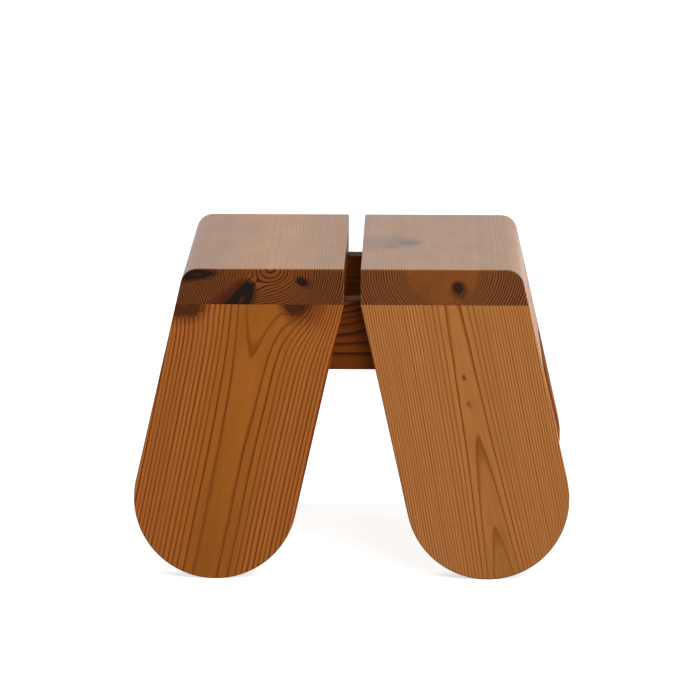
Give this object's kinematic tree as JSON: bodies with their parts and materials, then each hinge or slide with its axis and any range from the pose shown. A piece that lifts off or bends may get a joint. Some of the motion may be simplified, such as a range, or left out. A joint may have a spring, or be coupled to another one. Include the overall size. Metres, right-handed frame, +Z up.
{
  "type": "footstool",
  "caption": "Low solid pine footstool: seat boards with a finger gap between them, on splayed board legs with half round feet, tied by cross rails and leaning side rails.",
  "frame": {"origin": "on the floor under the middle of the stool", "axes": "+X to the right and -Y to the front as seen in the picture, +Z up"},
  "size_m": [0.4402, 0.46, 0.316],
  "materials": {
    "seat_wood": "satin lacquered pine",
    "leg_wood": "satin lacquered pine",
    "rail_wood": "satin lacquered pine",
    "dowel_wood": "raw beech",
    "screw_steel": "zinc plated"
  },
  "bodies": {
    "root": {"top_board_left": "seat_wood", "top_board_right": "seat_wood", "leg_front_left": "leg_wood", "leg_front_right": "leg_wood", "leg_rear_left": "leg_wood", "leg_rear_right": "leg_wood", "side_rail_left": "rail_wood", "side_rail_right": "rail_wood", "cross_rail_front": "rail_wood", "cross_rail_rear": "rail_wood", "leg_dowels_front_left": "dowel_wood", "leg_dowels_front_right": "dowel_wood", "leg_dowels_rear_left": "dowel_wood", "leg_dowels_rear_right": "dowel_wood", "side_rail_dowels_left": "dowel_wood", "side_rail_dowels_right": "dowel_wood", "cross_rail_screws_front": "screw_steel", "cross_rail_screws_rear": "screw_steel", "seat_screws_front": "screw_steel", "seat_screws_rear": "screw_steel"}
  },
  "joints": []
}
